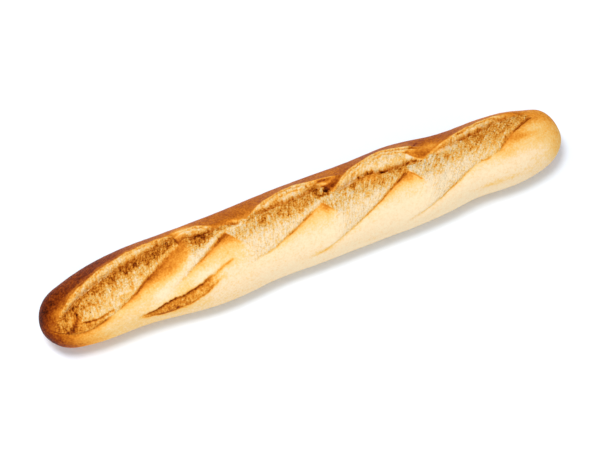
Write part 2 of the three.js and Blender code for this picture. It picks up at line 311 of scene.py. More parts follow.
# A shallow burst low on the -Y side.
BURST_EDGE = [(-172, 67), (-155, 65), (-140, 59), (-128, 55.5), (-112, 51.5), (-98, 43.5), (-82, 37)]
BURST_FOOT = [(-168, 72), (-145, 77), (-135, 75.5), (-120, 71), (-105, 62.5), (-88, 49)]
BURST_DEPTH, BURST_ABOVE, BURST_BELOW = 1.5, 1.0, 4
BURST_WANDER, TOOTH_LENGTH = 0.4, 0.8
BURST_LIP_HEIGHT, BURST_LIP_RISE, BURST_LIP_WIDTH = 0.9, 3, 2.4
BURST_LUMP_HEIGHT, BURST_LUMP_BROWNING = 0.3, -0.12
BURST_SIDE_BORDER, BURST_FOOT_BORDER = (-0.3, 0.5), (-0.5, 0.5)
BURST_BROWNING, BURST_EDGE_BROWNING, BURST_FOOT_BROWNING = 0.5, 0.82, 0.74
BURST_EDGE_DROP, BURST_EDGE_WIDTH, BURST_FOOT_WIDTH = 0.3, 1.9, 1.1  # of the browned lines
BURST_EDGE_STRENGTH, BURST_FOOT_STRENGTH = (0.85, 0.3), (0.75, 0.4)  # usual strength and its change
BURST_ROUGHNESS = 0.45

# Cracks, folds and thin dark edges from the -X end: points, half width, depth, and how far each browns.
# Where a mark is sunk, its browning is partly painted shade in the hollow.
MARKS = [
    ([(-242, 45), (-238, 50), (-232, 55)], 0.9, 0.5, 0.2),
    ([(-227, 50), (-222, 42), (-219, 32), (-216, 20)], 2.2, 0.6, 0.32),
    ([(-217, 41), (-207, 43), (-199, 43), (-192, 40), (-187, 38)], 1.3, 0.8, 0.45),
    ([(-216, 19), (-206, 18), (-197, 21)], 0.9, 0.3, 0.12),
    ([(-150, 46), (-132, 34), (-112, 17), (-104, 9)], 6, -0.6, -0.19),
    ([(-116, -38), (-115, -28), (-115, -19)], 0.8, 0.8, 0.3),
    # painted shadow in the groove under the second slash's lip
    ([(-109, -30), (-101, -28), (-95, -24), (-86, -23.5)], 1.0, 0.5, 0.3),
    ([(-92, 41), (-84, 36), (-74, 32)], 1.2, 0.4, 0.32),
    ([(-72, -8), (-67, 4), (-64, 12)], 0.8, 0.4, 0.1),
    ([(15, 1), (20, 11), (24, 20)], 0.8, 0.5, 0.12),
    ([(16, -10), (20, -10), (25, -9)], 1.3, 0.4, 0.22),
    ([(20, -32), (25, -31), (31, -31)], 0.8, 0.3, 0.2),
    ([(22, -28), (26, -21), (28, -14)], 0.7, 0.6, 0.15),
    ([(99, -24), (104, -26), (108, -29), (112, -33), (118, -44)], 0.9, 0.4, 0.22),
    ([(99, -13), (105, -14), (109, -11), (112, -7)], 0.7, 0.4, 0.3),
    ([(99, 3), (104, 13), (108, 22)], 0.8, 0.5, 0.2),
    ([(100, -20), (107, -17), (112, -11), (116, -6)], 0.8, -0.5, -0.25),
    ([(163, 25), (168, 27), (173, 26)], 1.0, 0.3, 0.25),
    ([(226, -30), (218, -21), (211, -13), (203, -4)], 0.7, 1.1, 0.35),
]
MARK_WANDER, PIT_WANDER = 0.6, 0.8
MARK_END_STRENGTH = 0.25

# Pits and blisters broken open in the crumb: x, angle, radius, depth, browning. A pit's browning is partly
# painted shade in its hollow.
PITS = [
    (-229, 52, 3.6, 0.4, 0.12),
    (-5, -26, 0.7, 0.4, 0.4),
    (10, -32, 0.9, 0.8, 0.6),
    (15.5, -23, 2.6, 0.9, 0.24),
    (24, -17, 2, 2.4, 0.75),
    (56, -19, 0.8, 0.5, 0.6),
    (65, -21, 0.8, 0.5, 0.4),
    (69, -20, 0.8, 0.5, 0.4),
    (77, -13, 2.4, 0.5, 0.3),
    (106, 20, 1.6, 0.2, 0.2),
    (129, -9, 2.4, 0.5, 0.2),
    (136, 1, 1.6, 0.8, 0.3),
    (194, 2, 0.9, 0.4, 0.25),
    (202, -21, 1.2, 0.4, 0.2),
    (203, -13, 0.9, 0.3, 0.2),
    (204, -31, 1.4, 0.5, 0.25),
]

# Browner and paler patches: x, angle, reach along, reach round, change of browning.
PATCHES = [
    (-231, 4, 7, 10, -0.15),
    (-220, 10, 5, 11, 0.17),
    (-207, 50, 17, 5, 0.28),
    (-173, 29, 10, 7, 0.08),
    (-145, 16, 8, 6, 0.08),
    (-137, 76, 20, 8, 0.17),
    (-130, 14, 14, 9, 0.1),
    (-123, 47, 9, 8, 0.09),
    (-107, -42, 9, 15, -0.2),
    (-104, 38, 16, 9, -0.15),
    (-95, -15, 9, 7, 0.06),
    (-80, 38, 9, 4, 0.08),
    (-72, 2, 5, 8, 0.12),
    (-58, -23, 18, 6, -0.1),
    (-40, -4, 4, 6, 0.2),
    (-34, -25, 7, 5, -0.07),
    (0, 70, 14, 4, 0.16),
    (18, 12, 4.5, 8, 0.26),
    (20.5, -17, 1.8, 6, -0.25),
    (32, -19, 6, 5, 0.22),
    (34, -50, 12, 9, -0.08),
    (42, -13, 6, 6, -0.08),
    (60, 85, 20, 5, 0.06),
    (66, -26, 8, 6, -0.1),
    (78, -48, 8, 7, 0.07),
    (97, -15, 8, 7, 0.08),
    (98, 12, 6, 8, 0.18),
    (103, -48, 8, 8, -0.08),
    (107, -22, 4, 4, -0.16),
    (118, -15, 6, 5, 0.13),
    (127, -26, 8, 8, -0.23),
    (128, -12, 6, 6, -0.07),
    (141, -12, 8, 6, -0.11),
    (175, 70, 26, 6, 0.14),
    (190, 28, 12, 9, 0.1),
    (206, 9, 12, 7, 0.2),
    (225, -5, 12, 12, -0.14),
]

# Places where the crumb is smooth: x, angle, reach along and reach round.
SMOOTH_PATCHES = [(-220, 37, 4.5, 12), (66, -10, 9, 7), (133, -14, 8, 5)]

# The browning of untorn crust along the loaf, on its +Y side, its top and its -Y side. The +Y side is
# darker partly as painted shade, and the -Y side paler partly as painted light.
FAR_BROWNING_AND_SHADE = [
    (-250, 0.97), (-232, 0.9), (-205, 0.88), (-178, 0.88), (-155, 0.75),
    (-100, 0.7), (140, 0.75), (165, 0.7), (205, 0.56), (250, 0.5),
]
TOP_BROWNING = [
    (-250, 0.96), (-237, 0.84), (-215, 0.62), (-150, 0.53),
    (-119, 0.52), (-91, 0.34), (190, 0.34), (250, 0.36),
]
NEAR_BROWNING_AND_LIGHT = [
    (-250, 0.95), (-238, 0.8), (-218, 0.45), (-203, 0.33), (-188, 0.22), (-100, 0.13),
    (-60, 0.06), (100, 0.02), (200, 0.06), (225, 0.14), (240, 0.3), (250, 0.34),
]
UNDERSIDE_BROWNING = 0.5
# How the three share the crust at each angle. The underside has what they leave.
SIDE_ANGLES = [-180, -130, -50, -24, -8, 15, 46, 105, 140, 180]
FAR_SHARES = [0, 1, 1, 1, 0.4, 0, 0, 0, 0, 0]
TOP_SHARES = [0, 0, 0, 0, 0.6, 0.8, 0, 0, 0, 0]
NEAR_SHARES = [0, 0, 0, 0, 0, 0.2, 1, 1, 0.3, 0]

# The net of the surface.
STATIONS = 520  # rings along the loaf, not counting its two tips
STATION_CROWDING = 0.12  # rings stand closer towards the tips
CROWDING_POWER = 9
COLUMN_ANGLES = [-180, -100, -50, 70, 115, 180]  # between these the columns stand evenly
COLUMN_COUNTS = [22, 26, 100, 26, 16]

# The fine look of the crust: the size of each pattern in millimetres, and how much the patterns brown
# and lift the untorn crust and the torn crumb. The pores are sunk and browned; their browning is painted
# shade.
STRAND_SIZE, CLOUD_SIZE, MOTTLE_SIZE, GRAIN_SIZE, PORE_SIZE = 2.1, 14, 4, 1.7, 1.9
STRAND_STRETCH = (1, 0.28, 1)
PORE_LEVELS = (0.16, 0.3)  # a pore begins at the first level of its pattern and is whole at the second
CRUST_TINT = {"clouds": 0.12, "mottle": 0.26, "grain": 0.38}
CRUMB_TINT = {"strands": 1.25, "grain": 0.45, "pores": 0.3}
CRUST_LIFT = {"mottle": 0.4, "grain": 0.12}
CRUMB_LIFT = {"strands": -2.4, "grain": 2.0, "pores": -0.8}
GLOSS_LEVELS = (0.1, 0.8)  # the crust turns glossier between these levels of browning
GLOSS_ROUGHNESS = (0.72, 0.46)
TORN_DULLNESS = 0.2
CRUST_SPECULAR = 0.03

# The stage, in metres. Each light has a name, the property with its power, a width, an azimuth and an
# elevation in degrees, and a distance.
FLOOR_HALF_SIZE = 4.0
FLOOR_CLOUD_SIZE = 60  # millimetres
FLOOR_PALENESS = 1.01  # how much paler the floor is in its clouds
FLOOR_ROUGHNESS = 0.9
SKY_COLOUR = (0.965, 0.985, 1, 1)
LIGHTS = [
    ("key_light", "key_power", 0.7, -105, 80.5, 2.2),
    ("back_light", "back_power", 0.6, -140, 56, 2),
    ("fill_light", "fill_power", 1.2, -10, 18, 1.8),
]
CAMERA_TARGET = Vector((-0.0045, 0.0001, 0.026))
CLIP_START = 0.01


def smooth(start, end, value):
    """0 before start, 1 after end, and a smooth step between them."""
    share = np.clip((value - start) / (end - start), 0, 1)
    return share * share * (3 - 2 * share)


def fade_ends(share, ends):
    """1 along the middle of a line, and 0 at its ends."""
    fade_in, fade_out = ends
    return smooth(*fade_in, share) * smooth(*fade_out, share)


def bump(value, width):
    return np.exp(-((value / width) ** 2))


def blend(under, over, share):
    return under + (over - under) * share


def noise(seed, *axes):
    """Smooth random values from -1 to 1 at places measured in cells, alike on every run."""
    table = np.random.default_rng(seed).uniform(-1, 1, (NOISE_CELLS,) * len(axes))
    low = [np.floor(axis).astype(int) for axis in axes]
    share = [smooth(0, 1, axis - floor) for axis, floor in zip(axes, low)]
    total = 0
    for corner in itertools.product((0, 1), repeat=len(axes)):
        weight = 1
        for side, part in zip(corner, share):
            weight = weight * (part if side else 1 - part)
        cell = tuple((floor + side) % NOISE_CELLS for floor, side in zip(low, corner))
        total = total + weight * table[cell]
    return total


def layered(seed, *axes):
    """Noise with finer layers on it."""
    total = noise(seed, *axes)
    for number, (fineness, share) in enumerate(FINER_LAYERS, start=1):
        total = total + share * noise(seed + number, *(fineness * axis for axis in axes))
    return total


def level_along(points, x):
    """A level that changes with x through (x, level) points."""
    return np.interp(x, *np.array(points, float).T)


def girth(x):
    """Girth of the loaf at x as a share of its middle."""
    share = np.minimum(np.abs(x) / (LOAF_LENGTH / 2), 1)
    return np.sqrt(1 - share**END_SQUARENESS) * (1 - TAPER * share**2)


def middle_line(x):
    """How far the bowed middle of the loaf lies towards +Y at x."""
    return BOW * (1 - 2 * (2 * x / LOAF_LENGTH) ** 2)


class Line:
    """A line on the loaf that runs on a smooth curve through (x, angle) points in order of x."""

    def __init__(self, points):
        self.x, self.angle = np.array(points, float).T
        before, after = np.roll(np.arange(len(self.x)), 1), np.roll(np.arange(len(self.x)), -1)
        before[0], after[-1] = 0, len(self.x) - 1
        self.slope = (self.angle[after] - self.angle[before]) / (self.x[after] - self.x[before])

    def at(self, x):
        """Angle and slope at x, on a cubic curve between two points."""
        x = np.clip(x, self.x[0], self.x[-1])
        k = np.clip(np.searchsorted(self.x, x) - 1, 0, len(self.x) - 2)
        span = self.x[k + 1] - self.x[k]
        u = (x - self.x[k]) / span
        a0, a1 = self.angle[k], self.angle[k + 1]
        m0, m1 = self.slope[k] * span, self.slope[k + 1] * span
        angle = a0 * (1 + 2 * u) * (1 - u) ** 2 + m0 * u * (1 - u) ** 2
        angle = angle + a1 * u**2 * (3 - 2 * u) + m1 * u**2 * (u - 1)
        slope = 6 * u * (1 - u) * (a1 - a0) + m0 * (1 - u) * (1 - 3 * u) + m1 * u * (3 * u - 2)
        return angle, slope / span

    def distance(self, x, angle):
        """Millimetres from the line, square to it and positive towards -Y."""
        here, slope = self.at(x)
        degree = DEGREE_MM * girth(x)
        return (angle - here) * degree / np.hypot(1, slope * degree)

    def along(self, x):
        """Share of the line's length passed at x."""
        return (x - self.x[0]) / (self.x[-1] - self.x[0])


def stroke_distance(points, x, angle):
    """Millimetres from a chain of straight strokes, and the share of the chain passed."""
    chain = np.array([(px, pa * DEGREE_MM) for px, pa in points])
    around = angle * DEGREE_MM
    nearest = np.full(x.shape, np.inf)
    passed = np.zeros(x.shape)
    for k, (start, end) in enumerate(zip(chain[:-1], chain[1:])):
        run = end - start
        share = ((x - start[0]) * run[0] + (around - start[1]) * run[1]) / (run @ run)
        share = np.clip(share, 0, 1)
        gap = np.hypot(x - start[0] - share * run[0], around - start[1] - share * run[1])
        passed = np.where(gap < nearest, (k + share) / (len(chain) - 1), passed)
        nearest = np.minimum(nearest, gap)
    return nearest, passed


class Surface:
    """The loaf's surface over a net of places: its relief, its browning with painted shade and light in it,
    and its torn crumb.
    """

    def __init__(self, sizes, x, angle):
        self.sizes, self.x, self.angle = sizes, x, angle
        self.around = angle * DEGREE_MM
        # Torn strands run across the loaf, leaning towards +X at their far end.
        self.strand = x + level_along(STRAND_LEAN, x) * self.around
        self.relief = np.zeros(x.shape)
        self.browning = np.zeros(x.shape)
        self.torn = np.zeros(x.shape)
        self.wander = TEAR_WANDER * (self.pattern(WANDER) + FINE_SHARE * self.pattern(FINE_WANDER))

    def pattern(self, cells, kind=noise, leaning=False, shift=0):
        """A random pattern over the surface. A leaning one follows the torn strands."""
        number, along, around = cells
        place = self.strand if leaning else self.x
        return kind(number + shift, place / along, self.around / around)

    def bake_crust(self):
        """The uneven, swollen and browned crust before it is torn, darker on its +Y side as partly painted
        shade and paler on its -Y side as partly painted light.
        """
        x, angle = self.x, self.angle
        solid = plain_place(self.sizes, x, angle, 0)
        for number, cell, height in CRUST_UNEVENNESS:
            self.relief += height * noise(number, *(solid[..., k] / cell for k in range(3)))
        for place_x, place_angle, height, along, around in SWELLINGS:
            turn = (angle - place_angle + 180) % 360 - 180
            self.relief += height * bump(x - place_x, along) * bump(turn, around)
        shares = [np.interp(angle, SIDE_ANGLES, side) for side in (FAR_SHARES, TOP_SHARES, NEAR_SHARES)]
        drifted = x + DRIFT_REACH * self.pattern(BROWNING_DRIFT)
        levels = [level_along(points, drifted) for points in (FAR_BROWNING_AND_SHADE, TOP_BROWNING, NEAR_BROWNING_AND_LIGHT)]
        self.browning = (1 - sum(shares)) * UNDERSIDE_BROWNING
        self.browning += sum(share * level for share, level in zip(shares, levels))

    def tear_burst(self):
        """The shallow burst, with a toothed edge above and a foot below."""
        x, angle = self.x, self.angle
        edge, foot = Line(BURST_EDGE), Line(BURST_FOOT)
        strength = fade_ends(edge.along(x), BURST_ENDS)
        teeth = self.pattern(BURST_TEETH)
        wander = BURST_WANDER * self.wander
        below_edge = edge.distance(x, angle) + wander + TOOTH_LENGTH * teeth
        above_foot = -foot.distance(x, angle) + wander
        width = np.where(below_edge < 0, BURST_ABOVE, BURST_BELOW)
        self.relief -= BURST_DEPTH * strength * bump(below_edge, width)
        self.relief += BURST_LIP_HEIGHT * strength * bump(below_edge + BURST_LIP_RISE, BURST_LIP_WIDTH)

        inside = smooth(*BURST_SIDE_BORDER, below_edge) * smooth(*BURST_FOOT_BORDER, above_foot) * strength
        lumps = self.pattern(BURST_LUMPS, layered)
        self.relief += BURST_LUMP_HEIGHT * inside * lumps
        self.browning = blend(self.browning, BURST_BROWNING + BURST_LUMP_BROWNING * lumps, inside)
        usual, change = BURST_EDGE_STRENGTH
        line = strength * bump(below_edge - BURST_EDGE_DROP, BURST_EDGE_WIDTH) * (usual + change * teeth)
        self.browning = blend(self.browning, BURST_EDGE_BROWNING, line)
        usual, change = BURST_FOOT_STRENGTH
        line = strength * bump(above_foot, BURST_FOOT_WIDTH) * (usual + change * self.wander)
        self.browning = blend(self.browning, BURST_FOOT_BROWNING, line)
        self.torn = np.maximum(self.torn, BURST_ROUGHNESS * inside)

    def add_marks(self):
        """The cracks, folds, pits and patches, the sunken ones browned partly as painted shade."""
        for points, half_width, depth, darkening in MARKS:
            gap, passed = stroke_distance(points, self.x + MARK_WANDER * self.wander, self.angle)
            line = bump(gap, half_width) * blend(MARK_END_STRENGTH, 1, fade_ends(passed, MARK_ENDS))
            self.relief -= depth * line
            self.browning += darkening * line
        for x, angle, radius, depth, darkening in PITS:
            gap = np.hypot(self.x - x, (self.angle - angle) * DEGREE_MM) + PIT_WANDER * self.wander
            self.relief -= depth * bump(gap, radius)
            self.browning += darkening * bump(gap, radius)
        for x, angle, along, around, change in PATCHES:
            self.browning += change * bump(self.x - x, along) * bump(self.angle - angle, around)

    def made(self):
        """The surface with all its forms. Later ones lie over earlier ones."""
        self.bake_crust()
        for number, form in enumerate(SLASHES):
            Slash(self, number, form).cut()
        self.tear_burst()
        self.add_marks()
        return self


class Slash:
    """One slash on a surface: its lip, groove, torn crumb and crease."""

    def __init__(self, surface, number, form):
        self.surface, self.form = surface, form
        self.shift = NUMBERS_PER_SLASH * number
        x, angle, wander = surface.x, surface.angle, surface.wander
        self.ear, self.groove, self.crease = (Line(form[name]) for name in ("ear", "groove", "crease"))
        self.lip_strength = fade_ends(self.ear.along(x), LIP_ENDS)
        self.groove_strength = fade_ends(self.groove.along(x), GROOVE_ENDS)
        self.crease_strength = self.level("crease_strength")

        self.from_edge = self.ear.distance(x, angle) + EDGE_WANDER * wander
        self.below_groove = self.groove.distance(x, angle) + wander
        self.below_crease = self.crease.distance(x, angle) + CREASE_WANDER * wander
        self.below_crease += CREASE_SWAY * self.pattern(CREASE_BENDS)

        self.zone = self.torn_zone()
        # Along the groove, the crumb below it has the shelf, and the band above it is the lip's inside.
        along_groove = fade_ends(self.groove.along(x), SHELF_ENDS)
        self.shelf_band = along_groove * smooth(*GROOVE_BORDER, self.below_groove)
        self.lip_band = along_groove - self.shelf_band
        self.lip_lumps = self.pattern(LIP_LUMPS, layered)
        rib_outside, rib_inside = (share * self.level("rib_reach") for share in RIB_FADE)
        self.rib = smooth(rib_outside, rib_inside, -self.below_crease)
        self.roughness = 1
        for place_x, place_angle, along, around in SMOOTH_PATCHES:
            patch = bump(x - place_x, along) * bump(angle - place_angle, around)
            self.roughness = self.roughness * (1 - PATCH_SMOOTHNESS * patch)

    def level(self, name):
        """The form's level of that name along the loaf."""
        return level_along(self.form[name], self.surface.x)

    def pattern(self, cells, kind=noise, leaning=False):
        """A random pattern of this slash's own."""
        return self.surface.pattern(cells, kind, leaning, self.shift)

    def broken(self, cells, usual, change):
        """The strength of a broken line, from 0 to 1."""
        return np.clip(usual + change * self.pattern(cells), 0, 1)

    def torn_zone(self):
        """The share of torn crumb at each place."""
        x, angle = self.surface.x, self.surface.angle
        start_x, start_angle = np.array(self.form["start"], float).T
        end_x, end_angle = np.array(self.form["end"], float).T
        from_start = x - np.interp(angle, start_angle, start_x)
        fade = np.interp(angle, start_angle[-2:], self.form["start_fade"])
        to_end = np.interp(angle, end_angle, end_x) - x
        zone = smooth(0, fade, from_start) * smooth(*END_BORDER, to_end)
        return zone * smooth(*CREASE_BORDER, self.below_crease) * smooth(*EAR_BORDER, self.from_edge)

    def lift_lip(self):
        """Lifts the crust towards the lip's edge, and rounds its inside down to the groove."""
        surface = self.surface
        to_groove = self.ear.distance(surface.x, self.groove.at(surface.x)[0])
        to_groove = np.maximum(to_groove, LIP_LEAST_WIDTH)
        outside = np.clip(1 + self.from_edge / LIP_REACH, 0, 1) ** 2
        inside = 1 - np.clip(self.from_edge / to_groove, 0, 1) ** LIP_ROUNDING
        height = self.form["lip"] * self.lip_strength
        surface.relief += height * np.where(self.from_edge < 0, outside, inside)

    def sink_groove(self):
        surface = self.surface
        width = np.where(self.below_groove < 0, GROOVE_ABOVE, GROOVE_BELOW)
        depth = surface.sizes.groove_depth / MM * self.groove_strength
        surface.relief -= depth * bump(self.below_groove, width)

    def sink_crease(self):
        surface = self.surface
        width = np.where(self.below_crease < 0, CREASE_ABOVE, CREASE_BELOW)
        depth = surface.sizes.crease_depth / MM * self.crease_strength
        surface.relief -= depth * bump(self.below_crease, width)

    def swell_crumb(self):
        """Swells the opened crumb between the groove and the crease."""
        surface = self.surface
        x = surface.x
        groove_end = self.groove.x[-1]
        crease_end = min(self.crease.x[-1], groove_end)
        opened = smooth(self.crease.x[0], self.groove.x[0], x)
        opened = opened * smooth(groove_end + BLOOM_FADE, crease_end - BLOOM_FADE, x)
        top, foot = self.groove.at(x)[0], self.crease.at(x)[0]
        across = np.clip((foot - surface.angle) / np.maximum(foot - top, BLOOM_LEAST_ANGLE), 0, 1)
        arch = np.abs(np.sin(math.pi * across)) ** BLOOM_ROUNDING
        surface.relief += surface.sizes.bloom_height / MM * opened * arch

    def brown_crumb(self):
        """Browns the crumb, its shelf below the groove, its rib above the crease and the lip's inside."""
        surface = self.surface
        ragged = self.pattern(RAGGED_STRANDS, leaning=True) + FINE_SHARE * self.pattern(RAGGED_EDGE)
        reach = self.level("shelf_reach") * (1 + SHELF_RAGGEDNESS * ragged)
        shelf = self.shelf_band * smooth(reach + SHELF_OUTSIDE, reach - SHELF_INSIDE, self.below_groove)
        pale = np.maximum(self.rib, smooth(*PALE_FADE, self.below_groove))
        rib_browning = self.level("rib_browning")
        crumb = blend(self.level("crumb_browning"), rib_browning, pale)
        crumb = blend(crumb, self.level("shelf_browning"), shelf)
        crumb = blend(crumb, rib_browning, RIB_COVER * self.rib)
        lip = self.form["lip_browning"] + LIP_LUMP_BROWNING * self.lip_lumps
        crumb = blend(crumb, lip, self.lip_band)
        surface.browning = blend(surface.browning, crumb, self.zone)
        rough = (1 - PALE_SMOOTHNESS * pale) * (1 - LIP_SMOOTHNESS * self.lip_band) * self.roughness
        surface.torn = blend(surface.torn, rough, self.zone)

    def roughen_crumb(self):
        """Adds strands and lumps to the torn crumb, and lumps to the lip's inside."""
        surface = self.surface
        rough = self.zone * (1 - RIB_SMOOTHNESS * self.rib) * self.roughness
        strands = self.pattern(STRANDS, layered, leaning=True)
        lumps = self.pattern(LUMPS, layered)
        blotches = self.pattern(BLOTCHES, leaning=True)
        surface.relief += rough * (STRAND_HEIGHT * strands + LUMP_HEIGHT * lumps)
        surface.relief += self.zone * self.lip_band * LIP_LUMP_HEIGHT * self.lip_lumps
        change = STRAND_BROWNING * strands + LUMP_BROWNING * lumps + BLOTCH_BROWNING * blotches
        surface.browning += rough * (1 - LIP_EVENNESS * self.lip_band) * change

    def layer_lip(self):
        """Adds the layers of crust at the lip's edge, the sunken ones browned partly as painted shade."""
        surface = self.surface
        strength = self.lip_strength * self.broken(*BROKEN_LAYERS)
        strength = strength * smooth(*LAYER_FOOT, self.below_groove)
        wander = LAYER_WANDER * self.pattern(LAYER_BENDS)
        for from_rim, half_width, height, browning in LIP_LAYERS_AND_SHADE:
            inside = from_rim > 0
            layer = strength * bump(self.from_edge - from_rim + wander * inside, half_width)
            if from_rim > OUTER_CRUST:
                layer = layer * self.form["layering"]
            surface.relief += height * layer
            surface.browning = blend(surface.browning, browning, layer)

    def paint_groove_shadow(self):
        """Adds painted shadow in the groove under the lip, as a dark line."""
        surface = self.surface
        strength = self.level("groove_line")
        width = GROOVE_SHADOW_WIDTH + GROOVE_SHADOW_GROWTH * strength
        width = width * (1 + GROOVE_SHADOW_CHANGE * self.pattern(GROOVE_SHADOW_WIDTHS))
        line = self.groove_strength * np.minimum(strength, 1) * self.broken(*BROKEN_GROOVE_SHADOW)
        line = line * bump(self.below_groove + GROOVE_SHADOW_RISE, width)
        surface.browning = blend(surface.browning, GROOVE_SHADOW_DARKNESS, line)

    def paint_crease_line_and_shade(self):
        """Adds the dark line along the crease, partly browning and partly painted shade, and painted shade
        that browns the crust beside it.
        """
        surface = self.surface
        shown = np.minimum(self.crease_strength, 1)
        above = self.below_crease < 0
        width = np.where(above, CREASE_LINE_ABOVE, CREASE_LINE_BELOW)
        width = width * (1 + CREASE_LINE_CHANGE * self.pattern(CREASE_WIDTHS))
        line = np.sqrt(shown) * self.broken(*BROKEN_CREASE) * bump(self.below_crease, width)
        surface.browning = blend(surface.browning, blend(*CREASE_LINE_BROWNING_AND_SHADE, shown), line)
        shade_above = smooth(-CREASE_SHADE_ABOVE, 0, self.below_crease)
        shade_below = smooth(CREASE_SHADE_BELOW, 0, self.below_crease) ** CREASE_SHADE_FALL
        surface.browning += CREASE_SHADE_DARKNESS * shown**CREASE_SHADE_FALL * np.where(above, shade_above, shade_below)

    def cut(self):
        self.lift_lip()
        self.sink_groove()
        self.sink_crease()
        self.swell_crumb()
        self.brown_crumb()
        self.roughen_crumb()
        self.layer_lip()
        self.paint_groove_shadow()
        self.paint_crease_line_and_shade()


def settle(z):
    """Heights near zero are eased onto the flat base."""
    eased = (z + BASE_EASE) ** 2 / (4 * BASE_EASE)
    return np.where(z > BASE_EASE, z, np.where(z < -BASE_EASE, 0, eased))


def plain_place(sizes, x, angle, relief):
    """Points of the surface in millimetres, with the crust standing out by the relief."""
    size = girth(x)
    turn = np.radians(angle)
    side, rise = np.sin(turn), np.cos(turn)
    closed = np.maximum(size, LEAST_GIRTH)
    waist = sizes.waist_height / MM
    half_width = sizes.width / MM / 2 * closed
    half_height = np.where(rise >= 0, sizes.height / MM - waist, UNDERSIDE_DEPTH) * closed
    across = (np.abs(side) / half_width) ** ROUNDNESS + (np.abs(rise) / half_height) ** ROUNDNESS
    radius = across ** (-1 / ROUNDNESS) + relief * np.minimum(1, RELIEF_RETURN * size)
    return np.stack([x, middle_line(x) - radius * side, settle(waist + radius * rise)], -1)


def station_places():
    """The x of each ring of the net."""
    even = 2 * np.arange(1, STATIONS + 1) / (STATIONS + 1) - 1
    crowded = (1 + STATION_CROWDING) * even - STATION_CROWDING * even**CROWDING_POWER
    return LOAF_LENGTH / 2 * crowded


def column_angles():
    """The angle of each column of the net."""
    spans = zip(COLUMN_ANGLES[:-1], COLUMN_ANGLES[1:], COLUMN_COUNTS)
    return np.concatenate([np.linspace(start, end, count, endpoint=False) for start, end, count in spans])


def net_faces(corner):
    """The faces between the rings of corners, and the fans that close them round the two tips."""
    columns = corner.shape[1]
    following = np.roll(corner, -1, axis=1)
    cells = [corner[:-1], following[:-1], following[1:], corner[1:]]
    faces = np.stack(cells, -1).reshape(-1, 4).tolist()
    first, last = corner[0], corner[-1]
    first_tip, last_tip = corner.size, corner.size + 1
    faces += [[first_tip, int(first[(j + 1) % columns]), int(first[j])] for j in range(columns)]
    faces += [[last_tip, int(last[j]), int(last[(j + 1) % columns])] for j in range(columns)]
    return faces


def loaf_mesh(sizes):
    """The loaf's mesh, with its browning (painted shade and light included), torn crumb and strands as
    attributes of its points.
    """
    x, angle = np.meshgrid(station_places(), column_angles(), indexing="ij")
    surface = Surface(sizes, x, angle).made()
    points = plain_place(sizes, x, angle, surface.relief)
    ends = (-LOAF_LENGTH / 2, LOAF_LENGTH / 2)
    tips = [(end, middle_line(end), sizes.waist_height / MM) for end in ends]
    points = np.concatenate([points.reshape(-1, 3), tips])
    points[:, 1] -= (points[:, 1].min() + points[:, 1].max()) / 2

    mesh = bpy.data.meshes.new("crust")
    mesh.from_pydata((points * MM).tolist(), [], net_faces(np.arange(x.size).reshape(x.shape)))
    mesh.polygons.foreach_set("use_smooth", [True] * len(mesh.polygons))
    for name in ("browning", "torn"):
        grid = getattr(surface, name)
        values = np.concatenate([grid.ravel(), [grid[0].mean(), grid[-1].mean()]])
        attribute = mesh.attributes.new(name, "FLOAT", "POINT")
        attribute.data.foreach_set("value", values.astype(np.float32))
    strands = np.stack([surface.strand, surface.around, 0 * x], -1).reshape(-1, 3)
    strands = np.concatenate([strands, [[0, 0, 0], [0, 0, 0]]]) * MM
    attribute = mesh.attributes.new("strand", "FLOAT_VECTOR", "POINT")
    attribute.data.foreach_set("vector", strands.astype(np.float32).ravel())
    mesh.update()
    return mesh


def add_node(tree, kind, settings=None, **inputs):
    """A shader node. An input takes a value or the output that it is linked to."""
    node = tree.nodes.new(kind)
    for name, value in (settings or {}).items():
        setattr(node, name, value)
    for name, value in inputs.items():
        socket = node.inputs[int(name[1:])] if name[1:].isdigit() else node.inputs[name.replace("_", " ")]
        if isinstance(value, bpy.types.NodeSocket):
            tree.links.new(value, socket)
        else:
            socket.default_value = value
    return node


def add_math(tree, operation, first, second):
    return add_node(tree, "ShaderNodeMath", {"operation": operation}, _0=first, _1=second).outputs[0]


def add_sum(tree, patterns, weights):
    """The sum of the patterns named in the weights, each times its weight."""
    settings = {"operation": "MULTIPLY_ADD"}
    total = 0
    for name, weight in weights.items():
        node = add_node(tree, "ShaderNodeMath", settings, _0=patterns[name], _1=weight, _2=total)
        total = node.outputs[0]
    return total


def add_range(tree, value, levels, results=(0, 1)):
    """A value that goes from the first result to the second between two levels."""
    low, high = levels
    start, end = results
    node = add_node(
        tree, "ShaderNodeMapRange", Value=value, From_Min=low, From_Max=high, To_Min=start, To_Max=end
    )
    return node.outputs[0]


def add_ramp(tree, factor, stops):
    """Colours between stops of (place, colour)."""
    node = add_node(tree, "ShaderNodeValToRGB", _0=factor)
    elements = node.color_ramp.elements
    elements.remove(elements[1])
    elements[0].position, elements[0].color = stops[0][0], (*stops[0][1], 1)
    for place, colour in stops[1:]:
        elements.new(place).color = (*colour, 1)
    return node.outputs["Color"]


def add_noise(tree, vector, size, detail=3.0, roughness=0.55):
    """Noise about 0, from about -0.5 to 0.5, with cells of a size in millimetres."""
    found = add_node(
        tree, "ShaderNodeTexNoise", Vector=vector, Scale=1 / (size * MM), Detail=detail, Roughness=roughness
    )
    return add_math(tree, "SUBTRACT", found.outputs[0], 0.5)


def add_attribute(tree, name):
    return add_node(tree, "ShaderNodeAttribute", {"attribute_name": name})


